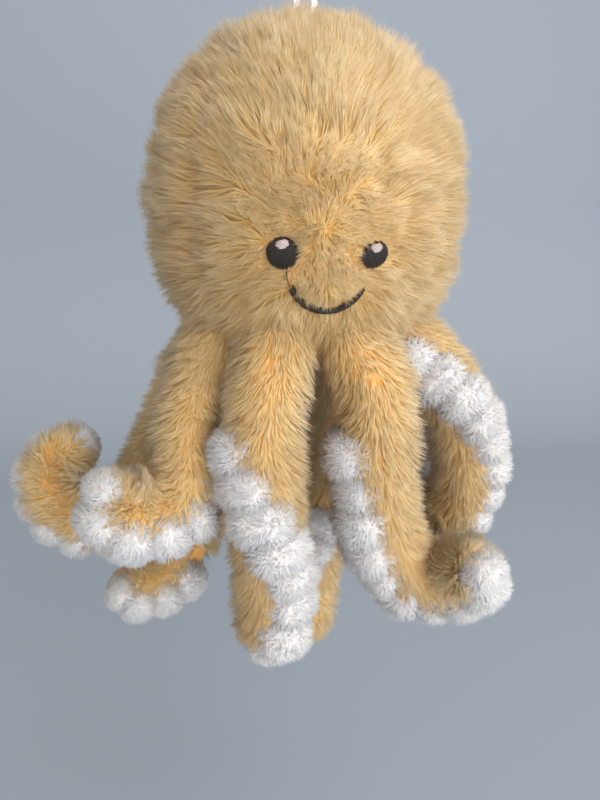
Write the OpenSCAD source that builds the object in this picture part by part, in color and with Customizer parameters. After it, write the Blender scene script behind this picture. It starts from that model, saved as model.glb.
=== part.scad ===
// Plush octopus on a hanging loop. The origin is the hang point at the inside top of the loop.
// +Z is up, the face looks along -Y, and left and right are as seen from the front.

/* [Loop] */
// Height of the hang point above the crown of the head
loop_h = 46; // [42:1:60]
// Width of the flat loop cord
cord_w = 2.6; // [2:0.1:3]
// Thickness of the flat loop cord
cord_t = 1; // [0.8:0.1:1.2]
// Turn of the loop's plane away from the face's own left to right
loop_turn = -40; // [-60:5:60]
// Radius of the stitched knot that holds the loop's two ends
knot_r = 3.5; // [3:0.1:3.6]

/* [Head] */
// Radius of the head at its widest level
head_r = 39; // [38.5:0.1:39.5]
// Depth of the head below its widest level
head_depth = 41; // [40.8:0.1:41.5]
// How square the head's lower half is, 2 being round
head_square = 3.2; // [3.1:0.05:3.4]
// Thickness of a head panel with its pile
panel_t = 5; // [3:0.5:6]
// Depth below the widest level at which the base panel is sewn in
base_level = 36; // [35:0.5:37]

/* [Face] */
// Distance from the middle of the face to an eye
eye_side = 10.6; // [10:0.1:12]
// Depth of the eyes below the head's widest level
eye_level = 16.2; // [15:0.1:18]
// Width of an embroidered eye
eye_w = 7; // [6:0.1:8]
// Height of an embroidered eye
eye_h = 7.4; // [6:0.1:8]
// Radius of the circle that the smile follows
smile_r = 9.4; // [9:0.1:10]
// Width of the smile's stitching
smile_w = 1.3; // [1:0.1:2]
// Height of the stitching above the panel
stitch_t = 0.8; // [0.4:0.1:1]

/* [Tentacles] */
// Half width of a tentacle at its root
root_half_w = 8.2; // [7:0.1:8.4]
// Half width of a tentacle at its tip
tip_half_w = 6.2; // [5:0.1:6.5]
// Half thickness of a tentacle at its root
root_half_t = 9; // [8:0.1:9.2]
// Half thickness of a tentacle at its tip
tip_half_t = 7.6; // [7:0.1:8]
// Share of a section that the stuffing fills
core = 0.6; // [0.5:0.02:0.7]
// How much every second ring of the gathered underside swells
puff = 0.09; // [0:0.01:0.1]
// Free space between the two halves of a tentacle at the knee
knee_gap = 2; // [1.8:0.1:3]

/* [Hidden] */
plush = [0.93, 0.74, 0.42];
white_plush = [0.96, 0.95, 0.95];
fibre = [0.9, 0.9, 0.88];
thread_black = [0.08, 0.07, 0.07];
cord_white = [0.95, 0.95, 0.96];

crown_hole = knot_r + 0.5;
stitch_gap = 0.05;
lay_gap = 0.1;

// The loop cord's centreline in its own plane: distance from the loop's axis, then height.
loop_route = [
    [-2.6, -42.8], [-2.7, -36], [-2.8, -29], [-2.9, -22], [-3, -15], [-3, -8.5], [-3, -3.2],
    [-2.6, -1.3], [-1.6, 0], [0, 0.5], [1.6, 0], [2.6, -1.3],
    [3, -3.2], [3, -8.5], [3, -15], [2.9, -22], [2.8, -29], [2.7, -36], [2.6, -42.8]
];
cord_sides = 8;

// One list for each tentacle: its name, the row that its knee sits at, and its rows.
// A row is a point of the centreline from the head's centre, then the way the white underside faces.
TENTACLES = [
    ["front_left", 3.5, [
        [-10, -24, -39, 0, 1, 0], [-13, -31, -49, -0.2, 1, 0], [-14, -34, -60, -0.9, 0.4, 0],
        [-14, -35, -71, -0.9, -0.7, 0], [-14, -35, -83, 0.1, -1, 0], [-13, -34, -98, 0.8, -0.7, 0],
        [-13, -34, -110, 0.6, -0.8, 0], [-14, -35, -118, 0.1, -1, 0]]],
    ["front_right", 3.5, [
        [10, -24, -39, -0.3, 1, 0], [14, -31, -49, -0.7, 0.6, 0], [15, -34, -62, -1, 0.2, 0],
        [16, -34, -76, -1, -0.3, 0], [19, -33, -89, -0.9, -0.3, -0.3], [25, -32, -98, -0.5, 0, -0.8],
        [31, -34, -101, 0, 0, -1], [36, -39, -98, 0.3, -0.2, -0.9], [38, -46, -91, 0.5, -0.4, -0.8]]],
    ["right_front", 3, [
        [24, -10, -39, -0.3, -0.8, -0.5], [33, -12, -46, -0.2, -0.9, -0.4], [41, -13, -57, 0.3, -0.9, -0.2],
        [46, -12, -71, 0.8, -0.6, 0], [47, -11, -84, 1, -0.2, 0], [43, -10, -94, 0.9, -0.3, -0.4],
        [36, -10, -98, 0.2, -0.3, -1]]],
    ["right_back", 2.5, [
        [24, 10, -39, -0.5, -0.6, 0], [36, 17, -53, -0.7, -0.5, 0], [47, 23, -69, -0.8, -0.5, 0],
        [52, 25, -83, -0.8, -0.5, -0.2], [51, 21, -95, -0.7, -0.4, -0.4], [45, 17, -104, -0.4, -0.3, -0.9],
        [36, 12, -107, -0.1, -0.2, -1]]],
    ["back_right", 3, [
        [10, 24, -39, 0, -1, 0], [13, 31, -53, 0, -1, 0], [15, 35, -71, 0, -1, 0],
        [14, 36, -92, 0, -1, 0], [12, 33, -113, -0.3, -1, 0], [7, 26, -136, -0.8, -0.6, 0],
        [2, 16, -154, -1, -0.2, 0.2]]],
    ["back_left", 3, [
        [-10, 24, -39, 0.3, -1, 0], [-14, 30, -54, 0.4, -1, 0], [-21, 31, -72, 0.6, -0.8, 0],
        [-30, 27, -90, 0.8, -0.6, 0], [-36, 17, -108, 0.7, -0.6, -0.4], [-44, 8, -119, 0.2, -0.7, -0.8],
        [-53, 3, -121, -0.1, -0.8, -0.6], [-59, 1, -119, -0.4, -0.8, -0.4]]],
    ["left_back", 3, [
        [-24, 10, -39, 0.7, -0.3, 0], [-34, 16, -53, 0.7, -0.2, -0.3], [-43, 20, -72, 0.7, -0.2, -0.5],
        [-53, 22, -91, 0.4, -0.2, -0.9], [-64, 20, -103, 0, 0, -1], [-75, 17, -102, -0.6, 0.1, -0.8],
        [-81, 15, -92, -0.9, 0.5, -0.1], [-78, 14, -81, -0.4, 0.9, 0.3], [-69, 13, -78, 0.3, 0.8, 0.5]]],
    ["left_front", 2.5, [
        [-24, -10, -39, 0.7, 0.4, 0], [-30, -14, -50, 0.7, 0.5, 0], [-33, -19, -61, 0.7, 0.4, 0],
        [-33, -24, -71, 0.8, 0, -0.5], [-37, -28, -79, 0.3, -0.5, -0.8], [-45, -31, -80, -0.3, -0.6, -0.7],
        [-50, -33, -76, -0.8, -0.4, -0.5], [-51, -34, -71, -1, -0.2, -0.1]]],
];
HALVES = ["upper", "lower"];
LAYERS = ["top", "underside", "filling"];

HEAD_NODES = [
    "hanging_loop", "loop_knot",
    "head_front_panel", "head_left_panel", "head_right_panel", "head_back_panel",
    "head_filling", "base_panel", "eye_left", "eye_right", "eye_highlights", "smile"
];

// The widest level of the head is this far below the hang point.
head_z = -loop_h - head_r;

// Outline of the head as points from the crown down, r outwards and z up.
function above(r, hole) =
    let (start = asin(hole / r))
    [for (a = [start : (90 - start) / 12 : 89]) [r * sin(a), r * cos(a)]];
function side_r(r, depth, z) = r * pow(1 - pow(z / depth, head_square), 1 / head_square);
function below(r, depth, level) = [for (i = [0 : 9]) let (z = level * sin(i * 10)) [side_r(r, depth, z), -z]];

// A smooth curve through the rows, at row number t.
function row(rows, i) = let (n = len(rows) - 1)
    i < 0 ? 2 * rows[0] - rows[1] : i > n ? 2 * rows[n] - rows[n - 1] : rows[i];
function curve(rows, t) =
    let (i = min(floor(t), len(rows) - 2), f = t - i)
    let (a = row(rows, i - 1), b = row(rows, i), c = row(rows, i + 1), d = row(rows, i + 2))
    0.5 * (2 * b + (c - a) * f + (2 * a - 5 * b + 4 * c - d) * f * f + (3 * b - a - 3 * c + d) * f * f * f);
function place(v) = [v[0], v[1], v[2]];
function facing(v) = [v[3], v[4], v[5]];
function unit(v) = v / norm(v);
function along(rows, t) = unit(place(curve(rows, t + 0.02) - curve(rows, t - 0.02)));
function under(rows, t) = let (d = along(rows, t), u = facing(curve(rows, t))) unit(u - d * (u * d));

// Length of the curve between two row numbers.
function run(rows, t0, t1) =
    let (n = 8, s = (t1 - t0) / n)
    let (steps = [for (i = [0 : n - 1]) norm(place(curve(rows, t0 + i * s + s) - curve(rows, t0 + i * s)))])
    steps * [for (i = [0 : n - 1]) 1];

// The half widths taper along the whole tentacle, and each half closes to a dome at both ends.
centre_shift = 2;
dome = 6.5;
dome_least = 0.28;
function taper(rows, t, root, tip) = root + (tip - root) * t / (len(rows) - 1);
function dome_share(d) = max(dome_least, sqrt(1 - pow(1 - min(d / dome, 1), 2)));

// Rings crowd towards both ends, where the outline turns quickly.
first_ring = 0.35;
second_ring = 1.3;
function from_end(k) = k == 1 ? first_ring : k == 2 ? second_ring : k;
function ring_share(k, n) = (k < n / 2 ? from_end(k) : n - from_end(n - k)) / n;

function section(rows, t, share, angles, swell) =
    let (c = place(curve(rows, t)), d = along(rows, t), u = under(rows, t), v = cross(d, u))
    let (w = taper(rows, t, root_half_w, tip_half_w), h = taper(rows, t, root_half_t, tip_half_t) * swell)
    [for (a = angles) c + u * centre_shift + v * (w * share * cos(a)) + u * (h * share * sin(a))];

// Angles go round a section from the golden top at -90 to the middle of the white underside at 90.
seam_angle = 31;
seam_slack = 2;
core_gap = 0.03;
top_start = 180 - seam_angle + seam_slack;
top_turn = 180 + 2 * seam_angle - 2 * seam_slack;
top_angles = [for (i = [0 : 8]) top_start + i * top_turn / 8];
under_angles = [for (i = [0 : 4]) seam_angle + i * (180 - 2 * seam_angle) / 4];
core_angles = [for (i = [0 : 11]) i * 30];

function flip(list) = [for (i = [len(list) - 1 : -1 : 0]) list[i]];
function layer_ring(rows, t, share, layer, swell) =
    layer == "filling" ? section(rows, t, share * (core - core_gap), core_angles, 1) :
    let (angles = layer == "top" ? top_angles : under_angles, outside = layer == "top" ? 1 : swell)
    concat(section(rows, t, share, angles, outside), flip(section(rows, t, share * core, angles, 1)));

// A solid through a list of rings that have the same number of points.
module loft(rings) {
    m = len(rings[0]);
    n = len(rings);
    sides = [for (k = [0 : n - 2]) for (j = [0 : m - 1]) for (s = [0, 1])
        let (a = k * m + j, b = k * m + (j + 1) % m) s == 0 ? [a, b, b + m] : [a, b + m, a + m]];
    ends = [[for (j = [m - 1 : -1 : 0]) j], [for (j = [0 : m - 1]) (n - 1) * m + j]];
    polyhedron(points = [for (r = rings) for (p = r) p], faces = concat(sides, ends), convexity = 6);
}

// One layer of one half of a tentacle, with a ring at each puff and each crease of the underside.
puff_pitch = 8.4;
module tentacle_layer(tentacle, half, layer) {
    rows = tentacle[2];
    knee = tentacle[1];
    last = len(rows) - 1;
    slack = knee_gap / 2 / run(rows, knee - 0.5, knee + 0.5);
    t0 = half == "upper" ? 0 : knee + slack;
    t1 = half == "upper" ? knee - slack : last;
    length = run(rows, t0, t1);
    n = 2 * round(length / puff_pitch) + 2;
    rings = [for (k = [0 : n])
        let (s = ring_share(k, n), t = t0 + (t1 - t0) * s, d = min(s, 1 - s) * length)
        layer_ring(rows, t, dome_share(d), layer, k % 2 == 0 ? 1 + puff : 1 - puff)];
    translate([0, 0, head_z]) loft(rings);
}

module hanging_loop() {
    n = len(loop_route) - 1;
    rings = [for (i = [0 : n])
        let (d = unit(loop_route[min(i + 1, n)] - loop_route[max(i - 1, 0)]), side = [-d[1], d[0]])
        [for (a = [0 : 360 / cord_sides : 359])
            [loop_route[i][0] + side[0] * cord_t / 2 * cos(a), cord_w / 2 * sin(a),
             loop_route[i][1] + side[1] * cord_t / 2 * cos(a)]]];
    color(cord_white) rotate([0, 0, loop_turn]) loft(rings);
}

module loop_knot() {
    color(cord_white) translate([0, 0, -loop_h]) sphere(r = knot_r, $fn = 32);
}

// The panels thin from panel_t at the widest level to low_t at their lower edge.
low_t = 3;
module head_panel(turn) {
    outline = concat(
        above(head_r, crown_hole),
        below(head_r, head_depth, base_level),
        flip(below(head_r - panel_t, head_depth - low_t, base_level)),
        flip(above(head_r - panel_t, crown_hole)));
    translate([0, 0, head_z]) rotate([0, 0, turn]) rotate_extrude(angle = 90, $fn = 48) polygon(outline);
}

module head_front_panel() {
    color(plush) head_panel(-135);
}

module head_left_panel() {
    color(plush) head_panel(135);
}

module head_right_panel() {
    color(plush) head_panel(-45);
}

module head_back_panel() {
    color(plush) head_panel(45);
}

module head_filling() {
    r = head_r - panel_t - lay_gap;
    depth = head_depth - low_t - lay_gap;
    outline = concat([[0, r]], above(r, crown_hole), below(r, depth, base_level), [[0, -base_level]]);
    color(fibre) translate([0, 0, head_z]) rotate_extrude($fn = 48) polygon(outline);
}

module base_panel() {
    top = base_level + lay_gap;
    drop = head_depth - top - 2 * lay_gap;
    rim = [for (i = [0 : 4]) let (z = top + drop * sin(i * 22.5)) [side_r(head_r, head_depth, z), -z]];
    outline = concat([[0, -top]], rim, [[0, rim[4][1]]]);
    color(plush) translate([0, 0, head_z]) rotate_extrude($fn = 48) polygon(outline);
}

// Whatever outline its child draws on the face, as a layer that lies on the front panel.
face_top = 5;
face_bottom = 36;
face_levels = [for (i = [0 : 10]) face_top + i * (face_bottom - face_top) / 10];
function face_line(out) = [for (z = face_levels) [side_r(head_r + out, head_depth + out, z), -z]];
module stitched(low, high) {
    outline = concat(face_line(high), flip(face_line(low)));
    translate([0, 0, head_z]) intersection() {
        rotate([0, 0, -135]) rotate_extrude(angle = 90, $fn = 48) polygon(outline);
        rotate([90, 0, 0]) linear_extrude(height = head_r + face_top) children();
    }
}

eye_slant = 12;
module eye_shape(side) {
    translate([side * eye_side, -eye_level]) rotate(-side * eye_slant)
        resize([eye_w, eye_h]) circle($fn = 40);
}

highlight_rise = 2;
highlight_w = 3.1;
highlight_h = 2.2;
module highlight_shape(side) {
    translate([side * eye_side, highlight_rise - eye_level]) rotate(-side * eye_slant)
        resize([highlight_w, highlight_h]) circle($fn = 32);
}

module eye_left() {
    color(thread_black) stitched(stitch_gap, stitch_t) eye_shape(-1);
}

module eye_right() {
    color(thread_black) stitched(stitch_gap, stitch_t) eye_shape(1);
}

highlight_t = 0.4;
module eye_highlights() {
    color(white_plush) stitched(stitch_t + stitch_gap, stitch_t + highlight_t)
        for (side = [-1, 1]) highlight_shape(side);
}

// The smile is the part of a ring within smile_reach degrees of its lowest point.
smile_side = 0.3;
smile_level = 29.6;
smile_reach = 62;
module smile() {
    far = 2 * smile_r;
    corner = far * [sin(smile_reach), -cos(smile_reach)];
    color(thread_black) stitched(stitch_gap, stitch_t)
        translate([smile_side, smile_r - smile_level]) difference() {
            circle(r = smile_r + smile_w / 2, $fn = 64);
            circle(r = smile_r - smile_w / 2, $fn = 64);
            polygon([[0, 0], [-corner[0], corner[1]], [-far, far], [far, far], corner]);
        }
}

module tentacle_part(tentacle, half, layer) {
    paint = layer == "top" ? plush : layer == "underside" ? white_plush : fibre;
    color(paint) tentacle_layer(tentacle, half, layer);
}

hanging_loop();
loop_knot();
head_front_panel();
head_left_panel();
head_right_panel();
head_back_panel();
head_filling();
base_panel();
eye_left();
eye_right();
eye_highlights();
smile();
for (t = TENTACLES) for (h = HALVES) for (l = LAYERS)
    tentacle_part(t, h, l);
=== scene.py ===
# Plush octopus on a hanging loop: fur, puffs, stitching, cord, camera and light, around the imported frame.
# Lengths are in millimetres in the part's own frame, and each mesh is scaled to metres as it is made.
import math

import bpy
import numpy as np
from mathutils.kdtree import KDTree
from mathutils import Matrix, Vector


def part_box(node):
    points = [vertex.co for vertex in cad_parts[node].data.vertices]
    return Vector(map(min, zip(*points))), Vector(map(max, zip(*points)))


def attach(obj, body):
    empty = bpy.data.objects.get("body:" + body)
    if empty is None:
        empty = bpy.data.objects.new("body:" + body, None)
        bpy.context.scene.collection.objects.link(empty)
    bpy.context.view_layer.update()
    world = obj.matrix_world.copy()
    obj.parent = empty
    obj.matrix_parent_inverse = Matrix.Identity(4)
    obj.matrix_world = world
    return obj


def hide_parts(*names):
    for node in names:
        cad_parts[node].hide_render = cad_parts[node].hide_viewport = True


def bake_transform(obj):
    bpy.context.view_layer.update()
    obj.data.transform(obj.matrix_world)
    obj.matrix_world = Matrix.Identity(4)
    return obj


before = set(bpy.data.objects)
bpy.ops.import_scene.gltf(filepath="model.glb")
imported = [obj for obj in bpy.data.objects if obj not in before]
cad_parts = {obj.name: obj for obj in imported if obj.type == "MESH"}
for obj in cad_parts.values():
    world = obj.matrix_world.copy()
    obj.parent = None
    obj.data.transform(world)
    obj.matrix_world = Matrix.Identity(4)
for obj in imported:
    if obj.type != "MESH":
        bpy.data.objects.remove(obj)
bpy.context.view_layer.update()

MM = 0.001
PILE_NORMAL = 0.82  # how far a strand is lit as the surface under it is, from 0 to 1
STRAND_WIDTH = 0.15
MAP = "OFBake"      # the pile's own UV map: tone of the strand across, root to tip along

# The frame's own levels, in millimetres.
panel_low, _ = [np.array(corner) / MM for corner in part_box("head_front_panel")]
knot_low, knot_high = [np.array(corner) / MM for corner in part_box("loop_knot")]
CROWN_Z = (knot_low[2] + knot_high[2]) / 2
BASE_LEVEL = 36.0  # the base panel's depth below the head's widest level
HEAD_Z = panel_low[2] + BASE_LEVEL
HEAD_R = CROWN_Z - HEAD_Z
HEAD_DEPTH = HEAD_R + 2
HEAD_SQUARE = 3.2  # how square the head's lower half is, 2 being round
CENTRE = np.array([0, 0, HEAD_Z])


# ---------------------------------------------------------------- small helpers
def unit(v):
    v = np.asarray(v, float)
    return v / np.maximum(np.linalg.norm(v, axis=-1, keepdims=True), 1e-9)


def smooth(x, low, high):
    t = np.clip((x - low) / (high - low), 0, 1)
    return t * t * (3 - 2 * t)


def ripple(p, size, seed):
    """Smooth noise of about -1 to 1 whose bumps are about size millimetres across."""
    rng = np.random.default_rng(seed)
    total = np.zeros(len(p))
    for _ in range(7):
        k = unit(rng.normal(size=3)) * rng.uniform(0.6, 1.4) * 2 * math.pi / size
        total += np.sin(p @ k + rng.uniform(0, 2 * math.pi))
    return total / 3.2


def linear(*rgb):
    """A colour of 0 to 255 as a linear node colour."""
    return [((c / 255 + 0.055) / 1.055) ** 2.4 if c > 10 else c / 255 / 12.92 for c in rgb] + [1.0]


def new_object(name, verts, faces, material, uv, normals):
    """A triangle mesh from arrays: verts in millimetres, faces of three indices, uv for each corner.

    normals has one row for each vertex, and a row of noughts keeps the mesh's own normal there."""
    me = bpy.data.meshes.new(name)
    me.vertices.add(len(verts))
    me.vertices.foreach_set("co", (np.asarray(verts, float) * MM).ravel())
    me.loops.add(len(faces) * 3)
    me.loops.foreach_set("vertex_index", np.asarray(faces, np.int32).ravel())
    me.polygons.add(len(faces))
    me.polygons.foreach_set("loop_start", np.arange(0, len(faces) * 3, 3, dtype=np.int32))
    me.update(calc_edges=True)
    me.polygons.foreach_set("use_smooth", np.full(len(faces), True))
    me.uv_layers.new(name=MAP).data.foreach_set("uv", np.asarray(uv, float).ravel())
    me.materials.append(material)
    me.validate()
    if np.any(normals):
        me.normals_split_custom_set_from_vertices(normals)
    ob = bpy.data.objects.new(name, me)
    bpy.context.scene.collection.objects.link(ob)
    return ob


class Pile:
    """Collects skins and strands as arrays, then makes one object of them."""

    def __init__(self):
        self.verts, self.faces, self.uv, self.normals, self.count = [], [], [], [], 0

    def add(self, verts, faces, uv, normals=None):
        self.verts.append(verts)
        self.faces.append(faces + self.count)
        self.uv.append(uv)
        self.normals.append(np.zeros_like(verts) if normals is None else normals)
        self.count += len(verts)

    def grid(self, rings, tone):
        """A closed skin through rings of points, shape (rings, around, 3), capped at both ends."""
        n, m, _ = rings.shape
        verts = np.concatenate([rings.reshape(-1, 3), rings[0].mean(0)[None], rings[-1].mean(0)[None]])
        k, j = np.meshgrid(np.arange(n - 1), np.arange(m), indexing="ij")
        a, b = k * m + j, k * m + (j + 1) % m
        quads = np.stack([a, b, b + m, a, b + m, a + m], -1).reshape(-1, 3)
        around = np.arange(m)
        low = np.stack([np.full(m, n * m), (around + 1) % m, around], -1)
        high = np.stack([np.full(m, n * m + 1), (n - 1) * m + around, (n - 1) * m + (around + 1) % m], -1)
        faces = np.concatenate([quads, low, high])
        corner = np.tile([[-0.01, 0], [0.01, 0], [0, 0.02]], (len(faces), 1))
        self.add(verts, faces, corner + [tone, 0.5])

    def strands(self, root, normal, towards, length, width, tone, rng):
        """Tapered three-sided strands that stand on root and point towards, closed at the foot."""
        n = len(root)
        roll = rng.uniform(0, 2 * math.pi, n)
        first = unit(0.6 * normal + 0.4 * towards)
        side = unit(np.cross(first, unit(rng.normal(size=(n, 3)))))
        other = np.cross(first, side)
        foot = [side * (width * np.cos(roll + turn))[:, None] + other * (width * np.sin(roll + turn))[:, None]
                for turn in (0, 2 * math.pi / 3, 4 * math.pi / 3)]
        verts = np.stack([root + part for part in foot] + [root + unit(towards) * length[:, None]], 1)
        shape = np.array([[0, 2, 1], [0, 1, 3], [1, 2, 3], [2, 0, 3]])
        along = np.array([0, 0, 0, 1])
        across = np.array([-0.015, 0, 0.015, 0])
        ways = np.stack([unit(part) for part in foot] + [np.zeros((n, 3))], 1)
        ways = unit(normal[:, None] * PILE_NORMAL + ways * (1 - PILE_NORMAL))
        faces = (np.arange(n)[:, None, None] * 4 + shape[None]).reshape(-1, 3)
        u = np.clip(tone, 0.03, 0.97)[:, None, None] + across[shape][None]
        v = np.broadcast_to(0.03 + 0.94 * along[shape][None], u.shape)
        self.add(verts.reshape(-1, 3), faces, np.stack([u, v], -1).reshape(-1, 2), ways.reshape(-1, 3))

    def make(self, name, material):
        return new_object(name, np.concatenate(self.verts), np.concatenate(self.faces), material,
                          np.concatenate(self.uv), np.concatenate(self.normals))


def clumps(root, size, rng):
    """The tuft that each root belongs to, and how many tufts there are, about size millimetres apart."""
    side = root.max(0) - root.min(0)
    shell = 0.7 * (side[0] * side[1] + side[1] * side[2] + side[0] * side[2])
    count = int(np.clip(shell / size ** 2, 4, len(root) // 6))
    centres = root[rng.choice(len(root), count, replace=False)]
    tree = KDTree(count)
    for i, place in enumerate(centres):
        tree.insert(place, i)
    tree.balance()
    return np.array([tree.find(place)[1] for place in root]), count


def gather_to(mine, count, tip, pull):
    """Draws the tips of each tuft towards their own middle."""
    total = np.zeros((count, 3))
    np.add.at(total, mine, tip)
    middle = (total / np.maximum(np.bincount(mine, minlength=count), 1)[:, None])[mine]
    return tip + (middle - tip) * pull[:, None]


def fur(pile, root, normal, flow, rng, length, lean, tone, tuft=4.2, gather=0.5, scatter=0.3):
    """Dresses roots with strands that lean along flow and gather into tufts, and small tufts within those."""
    large, large_count = clumps(root, tuft, rng)
    small, small_count = clumps(root, tuft * 0.38, rng)
    large_way = unit(rng.normal(size=(large_count, 3)))[large]
    small_way = unit(rng.normal(size=(small_count, 3)))[small]
    long = length * rng.uniform(0.86, 1.1, large_count)[large] * rng.uniform(0.72, 1.08, len(root))
    loose = rng.normal(size=root.shape)
    way = normal + flow * lean
    way = way + (large_way + small_way * 0.7 + loose * 0.45) * np.broadcast_to(scatter, len(root))[:, None]
    tip = root + unit(way) * long[:, None]
    share = rng.uniform(0.3, 1.15, len(root)) * gather
    tip = gather_to(large, large_count, tip, share)
    tip = gather_to(small, small_count, tip, share * 1.15)
    tone = tone + rng.uniform(-0.05, 0.05, large_count)[large] + rng.uniform(-0.05, 0.05, small_count)[small]
    tone = tone + rng.normal(size=len(root)) * 0.04
    width = STRAND_WIDTH * rng.uniform(0.75, 1.25, len(root))
    pile.strands(root, normal, unit(tip - root), long, width, tone, rng)


# ---------------------------------------------------------------- materials
def material(name):
    mat = bpy.data.materials.new(name)
    mat.use_nodes = True
    return mat, mat.node_tree.nodes, mat.node_tree.links, mat.node_tree.nodes["Principled BSDF"]


def ramp(nodes, stops):
    node = nodes.new("ShaderNodeValToRGB")
    node.color_ramp.interpolation = "EASE"
    while len(node.color_ramp.elements) < len(stops):
        node.color_ramp.elements.new(0.5)
    for element, (at, colour) in zip(node.color_ramp.elements, stops):
        element.position = at
        element.color = colour
    return node


def pile_material(name, along, across, sheen):
    """Pile coloured from root to tip, and from dark strands to light ones."""
    mat, nodes, links, shader = material(name)
    uv = nodes.new("ShaderNodeUVMap")
    uv.uv_map = MAP
    split = nodes.new("ShaderNodeSeparateXYZ")
    links.new(uv.outputs["UV"], split.inputs[0])
    length_ramp, tone_ramp = ramp(nodes, along), ramp(nodes, across)
    links.new(split.outputs["Y"], length_ramp.inputs["Fac"])
    links.new(split.outputs["X"], tone_ramp.inputs["Fac"])
    mix = nodes.new("ShaderNodeMix")
    mix.data_type = "RGBA"
    mix.blend_type = "MULTIPLY"
    mix.inputs[0].default_value = 1.0
    links.new(length_ramp.outputs["Color"], mix.inputs[6])
    links.new(tone_ramp.outputs["Color"], mix.inputs[7])
    links.new(mix.outputs[2], shader.inputs["Base Color"])
    shader.inputs["Roughness"].default_value = 0.72
    shader.inputs["Specular IOR Level"].default_value = 0.22
    shader.inputs["Sheen Weight"].default_value = sheen
    shader.inputs["Sheen Roughness"].default_value = 0.45
    shader.inputs["Subsurface Weight"].default_value = 0.5
    shader.inputs["Subsurface Radius"].default_value = (1.0, 0.7, 0.4)
    shader.inputs["Subsurface Scale"].default_value = 0.002
    return mat


def thread_material(name, dark, light, gloss):
    """Twisted embroidery thread: two shades that alternate in fine slanted bands."""
    mat, nodes, links, shader = material(name)
    place = nodes.new("ShaderNodeTexCoord")
    wave = nodes.new("ShaderNodeTexWave")
    wave.wave_type = "BANDS"
    wave.bands_direction = "DIAGONAL"
    wave.inputs["Scale"].default_value = 900
    wave.inputs["Distortion"].default_value = 2.5
    links.new(place.outputs["Object"], wave.inputs["Vector"])
    shades = ramp(nodes, [(0.1, dark), (0.9, light)])
    links.new(wave.outputs["Fac"], shades.inputs["Fac"])
    links.new(shades.outputs["Color"], shader.inputs["Base Color"])
    shader.inputs["Roughness"].default_value = gloss
    shader.inputs["Sheen Weight"].default_value = 0.05
    return mat


GOLD = pile_material(
    "golden_pile",
    [(0.0, linear(232, 178, 106)), (0.3, linear(240, 191, 120)), (0.62, linear(245, 202, 133)),
     (1.0, linear(249, 216, 156))],
    [(0.0, linear(228, 204, 172)), (0.5, linear(243, 232, 216)), (1.0, linear(255, 255, 248))], 0.1)
WHITE = pile_material(
    "white_pile",
    [(0.0, linear(216, 210, 209)), (0.45, linear(230, 227, 227)), (1.0, linear(244, 243, 245))],
    [(0.0, linear(236, 232, 232)), (1.0, linear(255, 255, 255))], 0.2)
BLACK_THREAD = thread_material("black_thread", linear(6, 4, 3), linear(32, 25, 20), 0.6)
PALE_THREAD = thread_material("pale_thread", linear(140, 122, 122), linear(196, 180, 180), 0.6)
CORD_WHITE = thread_material("white_cord", linear(212, 214, 226), linear(252, 252, 255), 0.35)


def filling_material():
    """White polyester fibre: soft mottling with a fine bump."""
    mat, nodes, links, shader = material("fibre_filling")
    noise = nodes.new("ShaderNodeTexNoise")
    noise.inputs["Scale"].default_value = 700
    noise.inputs["Detail"].default_value = 6
    place = nodes.new("ShaderNodeTexCoord")
    links.new(place.outputs["Object"], noise.inputs["Vector"])
    shades = ramp(nodes, [(0.3, linear(214, 212, 204)), (0.7, linear(246, 246, 242))])
    links.new(noise.outputs["Fac"], shades.inputs["Fac"])
    links.new(shades.outputs["Color"], shader.inputs["Base Color"])
    bump = nodes.new("ShaderNodeBump")
    bump.inputs["Strength"].default_value = 0.6
    bump.inputs["Distance"].default_value = 0.0006
    links.new(noise.outputs["Fac"], bump.inputs["Height"])
    links.new(bump.outputs["Normal"], shader.inputs["Normal"])
    shader.inputs["Roughness"].default_value = 0.95
    return mat


FIBRE = filling_material()


# ---------------------------------------------------------------- camera
CAMERA_TURN = math.radians(-6.3)
CAMERA_PITCH = math.radians(14.6)
CAMERA_BACK = 178.0
CAMERA_LEFT = 1.4
CAMERA_DROP = 13.7
camera = bpy.data.cameras.new("camera")
camera.lens = 27.2
camera.sensor_width = 36
camera.clip_start = 0.01
camera_object = bpy.data.objects.new("camera", camera)
bpy.context.scene.collection.objects.link(camera_object)
back = np.array([math.sin(CAMERA_TURN), -math.cos(CAMERA_TURN), 0])
right = np.array([math.cos(CAMERA_TURN), math.sin(CAMERA_TURN), 0])
camera_object.location = (CENTRE + back * CAMERA_BACK - right * CAMERA_LEFT - [0, 0, CAMERA_DROP]) * MM
camera_object.rotation_euler = (math.pi / 2 - CAMERA_PITCH, 0, CAMERA_TURN)
bpy.context.scene.camera = camera_object


# ---------------------------------------------------------------- the hanging loop
LOOP_TURN = math.radians(-40)
# The loop cord's centreline in its own plane: distance from the loop's axis, then height.
LOOP_ROUTE = [
    (-2.6, -42.8), (-2.7, -36), (-2.8, -29), (-2.9, -22), (-3, -15), (-3, -8.5), (-3, -3.2),
    (-2.6, -1.3), (-1.6, 0), (0, 0.5), (1.6, 0), (2.6, -1.3),
    (3, -3.2), (3, -8.5), (3, -15), (2.9, -22), (2.8, -29), (2.7, -36), (2.6, -42.8)]
CORD_W = 2.6
CORD_T = 1.0
CORD_STEP = 0.16   # between rings along the cord
CORD_SIDES = 28
PLAIT_PITCH = 1.5
PLAIT_HIGH = 0.09
THREAD_SIDES = 6
KNOT_THREAD = 0.3  # radius
KNOT_SIDES = 24


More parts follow.
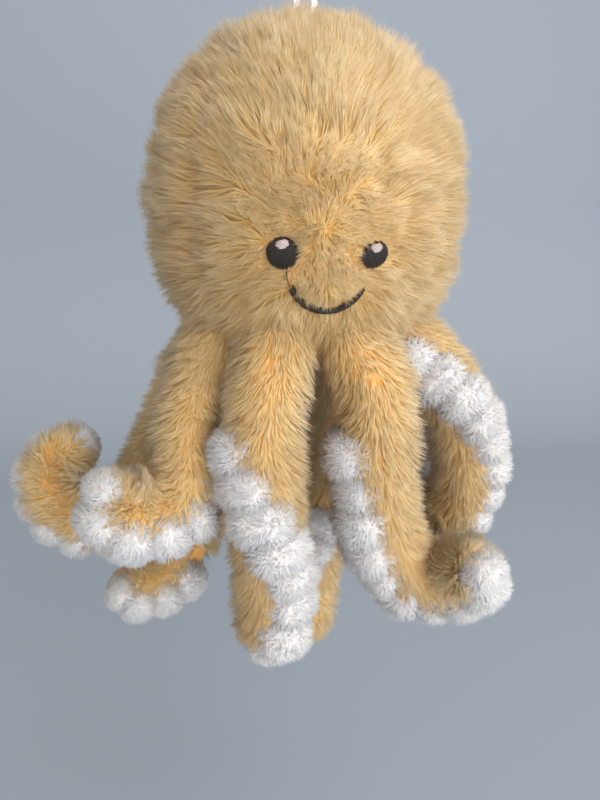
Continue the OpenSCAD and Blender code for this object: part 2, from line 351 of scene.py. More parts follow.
def spline(points, t):
    """Catmull-Rom through points, at row numbers t, as the CAD model's curve."""
    points = np.asarray(points, float)
    points = np.concatenate([[2 * points[0] - points[1]], points, [2 * points[-1] - points[-2]]])
    i = np.clip(np.floor(t).astype(int), 0, len(points) - 4)
    f = (t - i)[:, None]
    a, b, c, d = points[i], points[i + 1], points[i + 2], points[i + 3]
    square, cube = 2 * a - 5 * b + 4 * c - d, 3 * b - a - 3 * c + d
    return 0.5 * (2 * b + (c - a) * f + square * f ** 2 + cube * f ** 3)


def even_rows(points, step):
    """Row numbers that lie step apart along the spline, from its first row to its last, and its length."""
    fine = np.linspace(0, len(points) - 1, 40 * len(points))
    steps = np.linalg.norm(np.diff(spline(points, fine), axis=0), axis=1)
    gone = np.concatenate([[0], np.cumsum(steps)])
    return np.interp(np.linspace(0, gone[-1], int(gone[-1] / step) + 1), gone, fine), gone[-1]


def hanging_loop():
    """A flat braided cord: its section is a rounded band whose plaits stand up in slanted rows."""
    plane = np.array([math.cos(LOOP_TURN), math.sin(LOOP_TURN)])
    across = np.array([-plane[1], plane[0], 0])
    route = np.array([(s * plane[0], s * plane[1], z) for s, z in LOOP_ROUTE])
    rows, length = even_rows(route, CORD_STEP)
    centre = spline(route, rows)
    along = unit(np.gradient(centre, axis=0))
    out = np.cross(along, across)
    gone = np.linspace(0, length, len(rows))
    rings = []
    for a in np.linspace(0, 2 * math.pi, CORD_SIDES, endpoint=False):
        flat = math.copysign(abs(math.cos(a)) ** 0.7, math.cos(a))
        thick = math.copysign(abs(math.sin(a)) ** 0.8, math.sin(a))
        x = flat * CORD_W / 2
        wave = np.cos(2 * math.pi * (gone / PLAIT_PITCH + abs(x) * 0.62))
        plait = PLAIT_HIGH * wave * (1 - 0.25 * abs(flat))
        plait += 0.05 * math.cos(x * 2 * math.pi / 0.85)
        rings.append(centre + across * x * (1 + 0.05 * np.sin(gone * 4.2))[:, None]
                     + out * (thick * (CORD_T / 2 + plait))[:, None])
    pile = Pile()
    pile.grid(np.stack(rings, 1), 0.6)
    loop = pile.make("hanging_loop_cord", CORD_WHITE)
    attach(loop, "loop")
    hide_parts("hanging_loop")


def thread(pile, path, radius):
    """A thread along a path of points."""
    path = np.asarray(path, float)
    along = unit(np.gradient(path, axis=0))
    side = unit(np.cross(along, [0.31, 0.22, 0.93]))
    other = np.cross(along, side)
    turns = np.linspace(0, 2 * math.pi, THREAD_SIDES, endpoint=False)
    rings = [path + side * (radius * math.cos(a)) + other * (radius * math.sin(a)) for a in turns]
    pile.grid(np.stack(rings, 1), 0.5)


def loop_knot():
    """The stitched knot: a small ball of thread wound in crossing turns."""
    r = (knot_high[0] - knot_low[0]) / 2 - 0.35
    core = 0.93 * r
    pile = Pile()
    t = np.linspace(0, 1, 900)
    lift = 1.25 * np.sin(2 * math.pi * 9.5 * t + 0.7)
    turn = 2 * math.pi * 21 * t
    path = np.stack([r * np.cos(lift) * np.cos(turn), r * np.cos(lift) * np.sin(turn), r * np.sin(lift)], 1)
    thread(pile, path + [0, 0, CROWN_Z], KNOT_THREAD)
    around = np.linspace(0, 2 * math.pi, KNOT_SIDES, endpoint=False)
    ball = [np.stack([core * math.cos(e) * np.cos(around), core * math.cos(e) * np.sin(around),
                      np.full(KNOT_SIDES, CROWN_Z + core * math.sin(e))], 1)
            for e in np.linspace(-1.5, 1.5, 13)]
    pile.grid(np.array(ball), 0.5)
    knot = pile.make("loop_stitches", CORD_WHITE)
    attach(knot, "knot")
    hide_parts("loop_knot")


hanging_loop()
loop_knot()


# ---------------------------------------------------------------- the head
HEAD_STRANDS = 47000  # in each gore
BASE_STRANDS = 12000
BASE_WIDE = 27
BASE_SIDES = 40
GORE_COLUMNS = 25
PILE_LONG = 8.6
NAP_MIDDLE = CENTRE + [1, -HEAD_R, -13]  # the nap runs outwards from here
STRAY = 0.42       # how unevenly the pile ends at the stitching
CROWN_BARE = 4.2   # no pile grows this near the middle of the knot
CROWN_WIDE = 13    # the pile is shorter and parted this far round the knot
CLOTH_TOP = 36.2   # height of the cloth's edge round the knot, above the head's widest level
SKIN_IN = 2.4      # how far the cloth lies inside the pile's level that the CAD panels show
CLOTH_T = 0.9
SEAM_DEEP = 1.3    # how far the seams pull the head in
FAR = 99.0         # stands for no stitching near
# Each eye: x and z of its middle from the head's centre, its two half widths, and its turn in degrees.
EYES = {"left": (-9.4, -16.0, 3.5, 3.55, -10), "right": (12.1, -16.4, 3.35, 2.9, 38)}
# The circle that the smile follows: x, z, radius, and how many degrees it goes to the left and right.
SMILE = (1.2, -19.9, 9.4, 68, 60)


def head_point(azimuth, z, inset=0.0):
    """Points of the head's surface at heights z above its centre. Azimuth 0 is the face, positive to +X."""
    radius, depth = HEAD_R - inset, HEAD_DEPTH - inset * 0.6
    upper = np.sqrt(np.clip(1 - (z / radius) ** 2, 0, 1))
    lower = np.clip(1 - (np.abs(z) / depth) ** HEAD_SQUARE, 0, 1) ** (1 / HEAD_SQUARE)
    r = radius * np.where(z >= 0, upper, lower)
    seam = np.abs((np.degrees(azimuth) + 360) % 90 - 45)
    r = r - SEAM_DEEP * np.exp(-(seam / 3.5) ** 2)
    return np.stack([r * np.sin(azimuth), -r * np.cos(azimuth), z + HEAD_Z], -1)


def head_normal(azimuth, z):
    """The head's outward normals, from small steps each way."""
    turn, rise, lowest, highest = 0.02, 0.3, -40, 38.5
    across = head_point(azimuth + turn, z) - head_point(azimuth - turn, z)
    above = head_point(azimuth, np.clip(z + rise, lowest, highest))
    below = head_point(azimuth, np.clip(z - rise, lowest, highest))
    return unit(np.cross(across, above - below))


def on_face(x, z, inset=0.0):
    """The point of the head's front surface at that x and height, and its outward normal."""
    azimuth = np.arcsin(np.clip(np.asarray(x, float) / (HEAD_R - inset), -1, 1))
    z = np.asarray(z, float)
    for _ in range(4):
        p = head_point(azimuth, z, inset)
        azimuth = azimuth + (x - p[..., 0]) / (HEAD_R - inset)
    return head_point(azimuth, z, inset), head_normal(azimuth, z)


def face_clearance(p):
    """How far each point is from the nearest stitching, in millimetres across the face."""
    x, z = p[:, 0], p[:, 2] - HEAD_Z
    gap = np.full(len(p), FAR)
    for ex, ez, a, b, turn in EYES.values():
        c, s = math.cos(math.radians(turn)), math.sin(math.radians(turn))
        u, v = (x - ex) * c + (z - ez) * s, -(x - ex) * s + (z - ez) * c
        gap = np.minimum(gap, (np.hypot(u / a, v / b) - 1) * (a + b) / 2)
    sx, sz, r, left, right = SMILE
    angle = np.degrees(np.arctan2(x - sx, -(z - sz)))
    arc = np.abs(np.hypot(x - sx, z - sz) - r) - 0.5
    past = np.maximum(np.maximum(angle - right, -left - angle), 0) * r * math.pi / 180
    gap = np.minimum(gap, np.hypot(np.maximum(arc, 0), past) + np.minimum(arc, 0))
    return np.where(p[:, 1] < 0, gap, FAR)


def head_panel(name, turn, count, seed):
    """One gore of the head's cover: its cloth and its long pile."""
    rng = np.random.default_rng(seed)
    pile = Pile()
    quarter = math.pi / 4
    across = np.linspace(-quarter, quarter, GORE_COLUMNS)
    upper = CLOTH_TOP * np.sin(np.linspace(1.5, 0, 26))
    heights = np.concatenate([upper, -BASE_LEVEL * np.sin(np.linspace(0.06, 1.5, 18))])
    outer = [head_point(turn + across, np.full(GORE_COLUMNS, z), SKIN_IN) for z in heights]
    inner = [head_point(turn - across, np.full(GORE_COLUMNS, z * 0.985), SKIN_IN + CLOTH_T) for z in heights]
    # The cloth under the pile is painted a darker tone: painted shade in the gaps between strands.
    pile.grid(np.concatenate([outer, inner], 1), 0.3)
    # Roots spread evenly over the gore, by the area of the band at each height.
    top = math.sqrt((HEAD_R - SKIN_IN) ** 2 - CROWN_BARE ** 2)
    z = np.linspace(-BASE_LEVEL - 1.5, top, 400)
    edge = head_point(np.zeros(len(z)), z, SKIN_IN)
    band = np.abs(edge[:, 1]) * np.sqrt(1 + np.gradient(np.abs(edge[:, 1]), z) ** 2)
    share = np.cumsum(band) / band.sum()
    zs = np.interp(rng.random(count), share, z)
    azimuth = turn + rng.uniform(-quarter, quarter, count)
    root = head_point(azimuth, zs, SKIN_IN)
    normal = head_normal(azimuth, zs)
    gap = face_clearance(root + normal * SKIN_IN)
    keep = gap > rng.normal(size=len(gap)) * STRAY
    root, normal, azimuth, zs, gap = root[keep], normal[keep], azimuth[keep], zs[keep], gap[keep]
    # In the middle of the face the nap is short and stands up.
    outwards = root - NAP_MIDDLE
    far = np.linalg.norm(outwards, axis=1)
    outwards = outwards / np.maximum(far, 9)[:, None]
    swirl = np.stack([ripple(root, 24, 11), ripple(root, 24, 12), ripple(root, 24, 13)], 1)
    flow = outwards * 0.85 + swirl * 0.42
    # Round the knot the pile is shorter and leans away from the loop.
    aside = root * [1, 1, 0]
    beside = np.linalg.norm(aside, axis=1)
    crown = 1 - smooth(beside, CROWN_BARE, CROWN_WIDE)
    flow = flow * (1 - crown)[:, None] + aside * (crown / beside)[:, None]
    flow = flow - normal * (flow * normal).sum(1, keepdims=True)
    near = smooth(gap, 0, 4)
    middle = 1 - smooth(far, 8, 30)
    seam = np.exp(-(((np.degrees(azimuth) + 360) % 90 - 45) / 3.4) ** 2)
    length = PILE_LONG * (0.5 + 0.5 * near) * (1 - 0.35 * middle)
    length = length * (1 + 0.09 * ripple(root, 9, 21)) * (1 - 0.25 * seam) * (1 - 0.5 * crown)
    # Along the seams the pile's tone is painted darker: painted shade in the seams' creases.
    tone = 0.68 + 0.1 * ripple(root, 15, 31) - 0.22 * seam - 0.2 * middle
    # Towards the bottom of the head the tone is painted lighter: painted light against the shade under the
    # head's overhang.
    tone = tone + 0.2 * smooth(-zs, 21, 32)
    left = smooth(-root[:, 0], -5, 22)
    fur(pile, root, normal, flow, rng, length, lean=0.6, tone=tone, gather=0.24 + 0.34 * left,
        scatter=0.32 + 0.25 * middle)
    panel = pile.make(f"head_{name}_plush", GOLD)
    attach(panel, "head")
    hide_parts(f"head_{name}_panel")


DENSE = 1.0
for index, (name, turn) in enumerate([("front", 0), ("right", 90), ("back", 180), ("left", -90)]):
    head_panel(name, math.radians(turn), int(HEAD_STRANDS * DENSE), 100 + index)


def base_panel():
    """The round of plush that closes the head from below."""
    rng = np.random.default_rng(120)
    pile = Pile()
    around = np.linspace(0, 2 * math.pi, BASE_SIDES, endpoint=False)
    levels = -BASE_LEVEL + SKIN_IN - np.array([0.0, 1.2, 2.3, 3.2, 3.8])
    # The cloth under the pile is painted a darker tone: painted shade in the gaps between strands.
    pile.grid(np.array([head_point(around, np.full(BASE_SIDES, z), SKIN_IN) for z in levels]), 0.25)
    count = int(BASE_STRANDS * DENSE)
    r = BASE_WIDE * np.sqrt(rng.random(count))
    a = rng.uniform(0, 2 * math.pi, count)
    sag = 1.2 * (1 - (r / BASE_WIDE) ** 2)
    root = np.stack([r * np.cos(a), r * np.sin(a), HEAD_Z - BASE_LEVEL + 0.8 - sag], 1)
    spread = 0.25 * r / BASE_WIDE
    normal = unit(np.stack([spread * np.cos(a), spread * np.sin(a), np.full(count, -1.0)], 1))
    flow = np.stack([ripple(root, 15, 41), ripple(root, 15, 42), np.zeros(count)], 1)
    fur(pile, root, normal, flow, rng, np.full(count, 5.2), lean=0.5, tone=0.4)
    base = pile.make("base_plush", GOLD)
    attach(base, "head")
    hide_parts("base_panel")


base_panel()


# ---------------------------------------------------------------- the stitched face
FACE_IN = 0.6       # how far under the head's surface the stitches start
EYE_THREAD = 0.19   # the threads' radii
FINE_THREAD = 0.18
LOOSE_THREAD = 0.1
EYE_PITCH = 0.085   # between stitches, as a share of the eye's half width
SMILE_PITCH = 2.1   # between stitches, in degrees
SMILE_HALF = 0.64   # half width of the smile at its left end


def stitch(pile, start, end, lift, radius, steps):
    """One thread from start to end, two (x, z) places on the face, that arches over the padding."""
    t = np.linspace(0, 1, steps)
    x = start[0] + (end[0] - start[0]) * t
    z = start[1] + (end[1] - start[1]) * t
    p, n = on_face(x, z, FACE_IN)
    thread(pile, p + n * (lift * (1 - (2 * t - 1) ** 4))[:, None], radius)


def eye(side):
    """One eye's black stitches, in two crossing layers, as an object, and its pale highlight as a pile."""
    rng = np.random.default_rng(200 + (side == "right"))
    ex, ez, a, b, turn = EYES[side]
    c, s = math.cos(math.radians(turn)), math.sin(math.radians(turn))
    slant, crossing = math.radians(62), 0.22
    black, pale = Pile(), Pile()
    for layer, tilt in enumerate((slant, slant + crossing)):
        d = np.array([math.cos(tilt), math.sin(tilt)])
        w = np.array([-d[1], d[0]])
        for k in np.arange(-1, 1.001, EYE_PITCH):
            # The chord of the eye's outline along d, at k of the way across.
            offset = k * max(a, b)
            ts = np.linspace(-5, 5, 300)
            q = w * offset + d * ts[:, None]
            inside = (q[:, 0] / a) ** 2 + (q[:, 1] / b) ** 2 < 1
            if inside.sum() < 8:
                continue
            ends = [q[inside][0] * rng.uniform(0.94, 1.03), q[inside][-1] * rng.uniform(0.94, 1.03)]
            ends = [(ex + e[0] * c - e[1] * s, ez + e[0] * s + e[1] * c) for e in ends]
            rise = 0.6 * (1 - k * k) ** 0.5 + 0.2 * layer
            stitch(black, ends[0], ends[1], rise, EYE_THREAD, 9)
    # The highlight is a small oval near the eye's top, over the black.
    hx, hz, half_w, half_h = ex - 0.05, ez + b * 0.55, 1.75, 0.95
    for k in np.arange(-1, 1.001, 2 * EYE_PITCH):
        half = half_w * math.sqrt(max(0, 1 - k * k)) * rng.uniform(0.88, 1.05)
        if half < 0.3:
            continue
        level = hz + k * half_h
        stitch(pale, (hx - half, level - 0.15), (hx + half, level + 0.15), 1.15, FINE_THREAD, 7)
    done = black.make(f"eye_{side}_stitches", BLACK_THREAD)
    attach(done, "head")
    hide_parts(f"eye_{side}")
    return pale


def face():
    """Both eyes, their highlights as one piece, and the smile."""
    highlights = Pile()
    for side in ("left", "right"):
        part = eye(side)
        highlights.add(np.concatenate(part.verts), np.concatenate(part.faces), np.concatenate(part.uv))
    pale = highlights.make("eye_highlight_stitches", PALE_THREAD)
    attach(pale, "head")
    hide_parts("eye_highlights")
    # The smile is a row of short slanted stitches, and one loose thread runs down to it from the left eye.
    rng = np.random.default_rng(220)
    sx, sz, r, left, right = SMILE
    smile = Pile()
    for angle in np.arange(-left, right, SMILE_PITCH):
        a0, a1 = math.radians(angle), math.radians(angle + 5.5)
        thin = SMILE_HALF * (1 - 0.55 * smooth(angle, 0, right)) * rng.uniform(0.7, 1.25)
        inner = (sx + (r - thin) * math.sin(a0), sz - (r - thin) * math.cos(a0))
        outer = (sx + (r + thin) * math.sin(a1), sz - (r + thin) * math.cos(a1))
        stitch(smile, inner, outer, 1.0, FINE_THREAD, 6)
    ex, ez, _, b, _ = EYES["left"]
    corner = (sx - r * math.sin(math.radians(left)), sz - r * math.cos(math.radians(left)))
    stitch(smile, (ex + 1.0, ez - b), corner, 2.2, LOOSE_THREAD, 12)
    done = smile.make("smile_stitches", BLACK_THREAD)
    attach(done, "head")
    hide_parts("smile")


face()


# ---------------------------------------------------------------- the tentacles
# Each has the row number of its knee, then rows down its middle: x, y, z from the head's centre, and the
# way its white underside faces there.
TENTACLES = {
    "front_left": (3.5, [
        [-10, -24, -39, 0, 1, 0], [-13, -31, -49, -0.2, 1, 0], [-14, -34, -60, -0.9, 0.4, 0],
        [-14, -35, -71, -0.9, -0.7, 0], [-14, -35, -83, 0.1, -1, 0], [-13, -34, -98, 0.8, -0.7, 0],
        [-13, -34, -110, 0.6, -0.8, 0], [-14, -35, -118, 0.1, -1, 0]]),
    "front_right": (3.5, [
        [10, -24, -39, -0.3, 1, 0], [14, -31, -49, -0.7, 0.6, 0], [15, -34, -62, -1, 0.2, 0],
        [16, -34, -76, -1, -0.3, 0], [19, -33, -89, -0.9, -0.3, -0.3], [25, -32, -98, -0.5, 0, -0.8],
        [31, -34, -101, 0, 0, -1], [36, -39, -98, 0.3, -0.2, -0.9], [38, -46, -91, 0.5, -0.4, -0.8]]),
    "right_front": (3, [
        [24, -10, -39, -0.3, -0.8, -0.5], [33, -12, -46, -0.2, -0.9, -0.4], [41, -13, -57, 0.3, -0.9, -0.2],
        [46, -12, -71, 0.8, -0.6, 0], [47, -11, -84, 1, -0.2, 0], [43, -10, -94, 0.9, -0.3, -0.4],
        [36, -10, -98, 0.2, -0.3, -1]]),
    "right_back": (2.5, [
        [24, 10, -39, -0.5, -0.6, 0], [36, 17, -53, -0.7, -0.5, 0], [47, 23, -69, -0.8, -0.5, 0],
        [52, 25, -83, -0.8, -0.5, -0.2], [51, 21, -95, -0.7, -0.4, -0.4], [45, 17, -104, -0.4, -0.3, -0.9],
        [36, 12, -107, -0.1, -0.2, -1]]),
    "back_right": (3, [
        [10, 24, -39, 0, -1, 0], [13, 31, -53, 0, -1, 0], [15, 35, -71, 0, -1, 0], [14, 36, -92, 0, -1, 0],
        [12, 33, -113, -0.3, -1, 0], [7, 26, -136, -0.8, -0.6, 0], [2, 16, -154, -1, -0.2, 0.2]]),
    "back_left": (3, [
        [-10, 24, -39, 0.3, -1, 0], [-14, 30, -54, 0.4, -1, 0], [-21, 31, -72, 0.6, -0.8, 0],
        [-30, 27, -90, 0.8, -0.6, 0], [-36, 17, -108, 0.7, -0.6, -0.4], [-44, 8, -119, 0.2, -0.7, -0.8],
        [-53, 3, -121, -0.1, -0.8, -0.6], [-59, 1, -119, -0.4, -0.8, -0.4]]),
    "left_back": (3, [
        [-24, 10, -39, 0.7, -0.3, 0], [-34, 16, -53, 0.7, -0.2, -0.3], [-43, 20, -72, 0.7, -0.2, -0.5],
        [-53, 22, -91, 0.4, -0.2, -0.9], [-64, 20, -103, 0, 0, -1], [-75, 17, -102, -0.6, 0.1, -0.8],
        [-81, 15, -92, -0.9, 0.5, -0.1], [-78, 14, -81, -0.4, 0.9, 0.3], [-69, 13, -78, 0.3, 0.8, 0.5]]),
    "left_front": (2.5, [
        [-24, -10, -39, 0.7, 0.4, 0], [-30, -14, -50, 0.7, 0.5, 0], [-33, -19, -61, 0.7, 0.4, 0],
        [-33, -24, -71, 0.8, 0, -0.5], [-37, -28, -79, 0.3, -0.5, -0.8], [-45, -31, -80, -0.3, -0.6, -0.7],
        [-50, -33, -76, -0.8, -0.4, -0.5], [-51, -34, -71, -1, -0.2, -0.1]]),
}
# These are plain golden this far down.
PUFFS_FROM = {"front_left": 24.0, "front_right": 20.0, "back_right": 74.0, "back_left": 84.0}
IN_HEAD = 8.0      # each tentacle's cover starts this far up inside the head's pile
KNEE_REACH = 7.0   # the knee's piece runs this far each way
ROOT_FLARE = 1.5   # how much thicker each tentacle is where it leaves the head
PUFF_PITCH = 9.0   # along the row of puffs, not along the tentacle's middle
PUFF_OUT = 6.9     # from the tentacle's middle to a puff's middle
TIP_PUFFS = 25.0   # the puffs shrink over this last stretch
SKIN_ROOT = 7.2    # half width of the golden cloth at the root, and at the tip
SKIN_TIP = 6.5
ROUND_END = 8.0    # the cloth closes over this last stretch
ROUND_DEEP = 7.1


class Arm:
    """One tentacle's curve, as the CAD model has it, and the shapes that follow it."""

    def __init__(self, name):
        knee, rows = TENTACLES[name]
        self.name = name
        self.rows = np.array(rows, float)
        self.rows[:, 2] += HEAD_Z
        self.fine = np.linspace(0, len(rows) - 1, 60 * len(rows))
        steps = np.linalg.norm(np.diff(spline(self.rows, self.fine)[:, :3], axis=0), axis=1)
        self.gone = np.concatenate([[0], np.cumsum(steps)])
        self.length = self.gone[-1]
        self.knee = np.interp(knee, self.fine, self.gone)

    def at(self, s):
        """Middle, direction, underside way and sideways way at distances s; straight on past the ends."""
        inside = np.clip(s, 0, self.length)
        t = np.interp(inside, self.gone, self.fine)
        row = spline(self.rows, t)
        along = unit(spline(self.rows, t + 0.02)[:, :3] - spline(self.rows, t - 0.02)[:, :3])
        under = unit(row[:, 3:] - along * (row[:, 3:] * along).sum(1, keepdims=True))
        return row[:, :3] + along * (s - inside)[:, None], along, under, np.cross(along, under)

    def taper(self, s, root, tip):
        return root + (tip - root) * np.clip(s / self.length, 0, 1)

    def close(self, s):
        """1 along the cover, nothing at the end of the rounded tip, and small where it starts in the head."""
        end = np.clip(1 - (np.maximum(s - (self.length - ROUND_END), 0) / 7.2) ** 2, 0.0004, 1)
        start = np.clip(1 - (np.maximum(2 - s, 0) / 11) ** 2, 0.1, 1)
        return np.sqrt(end * start)

    def puff_places(self, bare):
        """Distances along at which the puffs sit, evenly spaced along their own row, beyond bare."""
        s = np.linspace(0, self.length - 5.2, 400)
        middle, _, under, _ = self.at(s)
        row = np.linalg.norm(np.diff(middle + under * PUFF_OUT, axis=0), axis=1)
        least = 0.8 * np.linalg.norm(np.diff(middle, axis=0), axis=1)
        gone = np.concatenate([[0], np.cumsum(np.maximum(row, least))])
        places = np.interp(gone[-1] - PUFF_PITCH * np.arange(int(gone[-1] / PUFF_PITCH), -1, -1), gone, s)
        return np.append(places[places > bare + 4], self.length - 1.5)

    def skin(self, s, a):
        """Points, normals and directions of the golden cloth. Angle 0 is the middle of its side."""
        middle, along, under, side = self.at(s)
        w = (self.taper(s, SKIN_ROOT, SKIN_TIP) + ROOT_FLARE * (1 - smooth(s, 4, 22))) * self.close(s)
        way = side * np.sin(a)[:, None] - under * np.cos(a)[:, None]
        point = middle + under * 0.4 + way * w[:, None]
        capped = (1 - self.close(s))[:, None] * (s > self.length / 2)[:, None]
        return point, unit(way * (1 - capped) + along * capped), along


STRANDS_PER_MM = 190
TIP_STRANDS = 2600
GOLDEN_HALF = math.radians(134)  # the pile goes this far round from the middle of the golden side
COVER_SIDES = 24


def cover(arm, zone, s0, s1, bare, seed):
    """The golden cloth and pile of one zone of a tentacle, with pile all round it up to bare."""
    rng = np.random.default_rng(seed)
    pile = Pile()
    end = min(s1, arm.length - 0.9)
    levels = np.linspace(s0, end, max(4, int((end - s0) / 1.4)))
    if zone == "tip":
        rounded = arm.length - ROUND_END + ROUND_DEEP * np.sin(np.linspace(0.1, 1.5, 8))
        levels = np.concatenate([levels[levels < arm.length - 7], rounded])
    around = np.linspace(0, 2 * math.pi, COVER_SIDES, endpoint=False)
    # The cloth under the pile is painted a darker tone: painted shade in the gaps between strands.
    pile.grid(np.array([arm.skin(np.full(COVER_SIDES, s), around)[0] for s in levels]), 0.28)
    extra = int(TIP_STRANDS * DENSE) if zone == "tip" else 0
    count = int((end - s0) * int(STRANDS_PER_MM * DENSE)) + extra
    s = rng.uniform(s0, end, count)
    if zone == "tip":
        s[:extra] = arm.length - ROUND_END + ROUND_DEEP * np.sin(rng.uniform(0.2, 1.5, extra))
    a = rng.uniform(-1, 1, count) * np.where(s < bare, math.pi, GOLDEN_HALF)
    if zone == "tip":
        a = np.where(s > arm.length - 3, rng.uniform(-math.pi, math.pi, count), a)
    root, normal, along = arm.skin(s, a)
    swirl = np.stack([ripple(root, 17, 51), ripple(root, 17, 52), ripple(root, 17, 53)], 1)
    flow = along * (0.95 + 1.1 * smooth(-s, -22, -4))[:, None] + swirl * 0.24
    flow = flow - normal * (flow * normal).sum(1, keepdims=True)
    short = 0.2 * smooth(s, arm.length - 9, arm.length)
    length = arm.taper(s, 6.3, 5.6) * (1 + 0.08 * ripple(root, 8, 54)) * (1 - short)
    # The pile is painted darker on the tentacle's flanks next to the puffs: painted shade there.
    tone = 0.62 + 0.1 * ripple(root, 12, 55) - 0.15 * smooth(np.abs(a), math.radians(95), math.radians(122))
    fur(pile, root, normal, flow, rng, length, lean=0.64, tone=tone, tuft=2.5, gather=0.22, scatter=0.22)
    return pile.make(f"{arm.name}_{zone}_plush", GOLD)


PUFF_SIDES = 14
PUFF_HALF = (5.9, 7.1, 5.8)  # half sizes of a puff's cloth: along the tentacle, across it, and outwards
PUFF_SQUARE = 0.86           # below 1 a puff is squarer than an ellipsoid
PUFF_STRANDS = 2800
PUFF_PILE = 2.7


def puffs(arm, zone, places, seed):
    """The white puffs of one zone, each a rounded pad with short straight pile standing all over it."""
    rng = np.random.default_rng(seed)
    pile = Pile()
    for s in places:
        middle, along, under, side = [x[0] for x in arm.at(np.array([s]))]
        last = smooth(s, arm.length - 4, arm.length - 1.5)
        size = 1 - 0.14 * smooth(s, arm.length - TIP_PUFFS, arm.length) - 0.1 * last
        size = size * rng.uniform(0.93, 1.07)
        axes = np.stack([along, side, under]) * np.array(PUFF_HALF)[:, None] * size
        centre = middle + under * PUFF_OUT * size * (1 - 0.45 * last)
        around = np.linspace(0, 2 * math.pi, PUFF_SIDES, endpoint=False)
        rings = []
        for e in np.linspace(-1.45, 1.45, 9):
            c, h = math.cos(e), math.sin(e)
            way = np.stack([np.cos(around) * c, np.sin(around) * c, np.full(PUFF_SIDES, h)], 1)
            rings.append(centre + np.sign(way) * np.abs(way) ** PUFF_SQUARE @ axes)
        # The puff's cloth is painted a darker tone than its pile: painted shade in the gaps between strands.
        pile.grid(np.array(rings)[:, ::-1], 0.4)
        count = int(PUFF_STRANDS * DENSE)
        way = unit(rng.normal(size=(count, 3)))
        way = way[way[:, 2] > -0.45 - 0.6 * last]
        root = centre + np.sign(way) * np.abs(way) ** PUFF_SQUARE @ axes
        normal = unit((way / PUFF_HALF) @ np.stack([along, side, under]))
        mine, total = clumps(root, 1.7, rng)
        turn = unit(rng.normal(size=(total, 3)))[mine]
        towards = unit(normal + turn * 0.36 + rng.normal(size=root.shape) * 0.2)
        crease = np.abs(way[:, 0])
        length = (PUFF_PILE - 0.5 * crease ** 3) * rng.uniform(0.75, 1.15, len(root)) * size
        # Towards the creases between puffs the pile is painted darker: painted shade in the creases.
        tone = 0.8 + rng.normal(size=len(root)) * 0.08 - 0.15 * crease ** 4
        pile.strands(root - normal * 0.2, normal, towards, length, np.full(len(root), 0.17), tone, rng)
    return pile.make(f"{arm.name}_{zone}_puffs", WHITE)


def tentacle(name, seed):
    """A tentacle's cover and puffs in three zones: two that bend, at the root and the knee, and the tip."""
    arm = Arm(name)
    upper, lower = f"{name}_upper", f"{name}_lower"
    above_knee, below_knee = arm.knee - KNEE_REACH, arm.knee + KNEE_REACH
    zones = {"root": (-IN_HEAD, above_knee), "knee": (above_knee, below_knee),
             "tip": (below_knee, arm.length)}
    bare = PUFFS_FROM.get(name, 0.0)
    places = arm.puff_places(bare)
    for index, (zone, (s0, s1)) in enumerate(zones.items()):
        mine = places[(places >= s0) & (places < s1)]
        layers = ["top"] if len(mine) else ["top", "underside"]
        made = [(cover(arm, zone, s0, s1, bare, seed + index), "plush_golden", layers)]
        if len(mine):
            made.append((puffs(arm, zone, mine, seed + 10 + index), "plush_white", ["underside"]))
        for ob, finish, layers in made:
            if zone == "root":
                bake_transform(ob)
                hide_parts(*[f"{upper}_{layer}" for layer in layers])
            elif zone == "knee":
                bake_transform(ob)
            else:
                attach(ob, lower)
                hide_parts(*[f"{lower}_{layer}" for layer in layers])


for index, name in enumerate(TENTACLES):
    tentacle(name, 300 + 40 * index)


# ---------------------------------------------------------------- stuffing that stays as the CAD model has it
for name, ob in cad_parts.items():
    if name.endswith("filling"):
        ob.data.materials.clear()
        ob.data.materials.append(FIBRE)


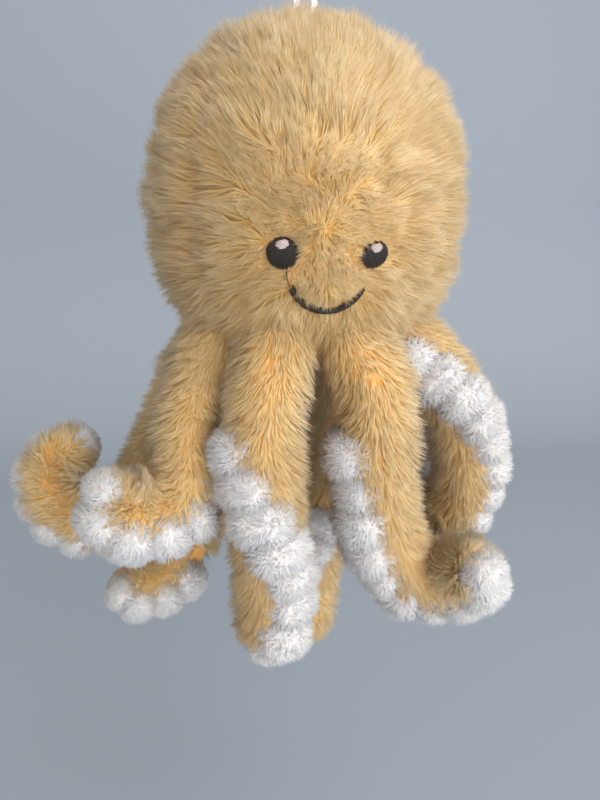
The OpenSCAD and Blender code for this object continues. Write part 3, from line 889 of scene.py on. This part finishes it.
# ---------------------------------------------------------------- floor, backdrop and light
def stage_material(name, colour, rough):
    """A plain colour with a faint slow change in it."""
    mat, nodes, links, shader = material(name)
    noise = nodes.new("ShaderNodeTexNoise")
    noise.inputs["Scale"].default_value = 3
    shades = ramp(nodes, [(0.3, [c * 0.96 for c in colour[:3]] + [1]), (0.7, colour)])
    links.new(noise.outputs["Fac"], shades.inputs["Fac"])
    links.new(shades.outputs["Color"], shader.inputs["Base Color"])
    shader.inputs["Roughness"].default_value = rough
    return mat


def sweep():
    """A floor that curves up into the wall behind, as one surface."""
    floor_z, wall_y, bend, half = -0.34, 0.75, 0.3, 3.0
    line = [(-2.5, floor_z)] + [(wall_y - bend + bend * math.sin(a), floor_z + bend - bend * math.cos(a))
                                for a in np.linspace(0, math.pi / 2, 16)] + [(wall_y, 2.5)]
    verts = [(x, y, z) for y, z in line for x in (-half, half)]
    faces = [(2 * i, 2 * i + 1, 2 * i + 3, 2 * i + 2) for i in range(len(line) - 1)]
    me = bpy.data.meshes.new("sweep")
    me.from_pydata(verts, [], faces)
    me.polygons.foreach_set("use_smooth", [True] * len(faces))
    me.materials.append(stage_material("backdrop", linear(158, 168, 181), 0.9))
    ob = bpy.data.objects.new("sweep", me)
    bpy.context.scene.collection.objects.link(ob)


def area_light(name, place, size, power, colour):
    """A round soft light that faces the middle of the head."""
    light = bpy.data.lights.new(name, "AREA")
    light.shape = "DISK"
    light.size = size
    light.energy = power
    light.color = colour
    ob = bpy.data.objects.new(name, light)
    bpy.context.scene.collection.objects.link(ob)
    way = CENTRE * MM - place
    ob.location = place
    turn = math.atan2(way[1], way[0]) - math.pi / 2
    ob.rotation_euler = (math.acos(-way[2] / np.linalg.norm(way)), 0, turn)


sweep()
area_light("key", (0.42, -1.0, 0.1), 1.2, 14.2, (1.0, 0.985, 0.95))
area_light("fill", (0.0, -1.0, -0.45), 0.9, 10, (1.0, 0.985, 0.96))
area_light("top", (0.5, -0.45, 0.9), 0.8, 3.6, (1.0, 0.99, 0.96))
area_light("back", (-0.3, 0.9, 0.35), 0.9, 6, (1.0, 0.99, 0.97))
world = bpy.data.worlds.new("world")
world.use_nodes = True
world.node_tree.nodes["Background"].inputs["Color"].default_value = (0.95, 0.9, 0.82, 1)
world.node_tree.nodes["Background"].inputs["Strength"].default_value = 0.7
bpy.context.scene.world = world
bpy.context.scene.view_settings.view_transform = "Standard"
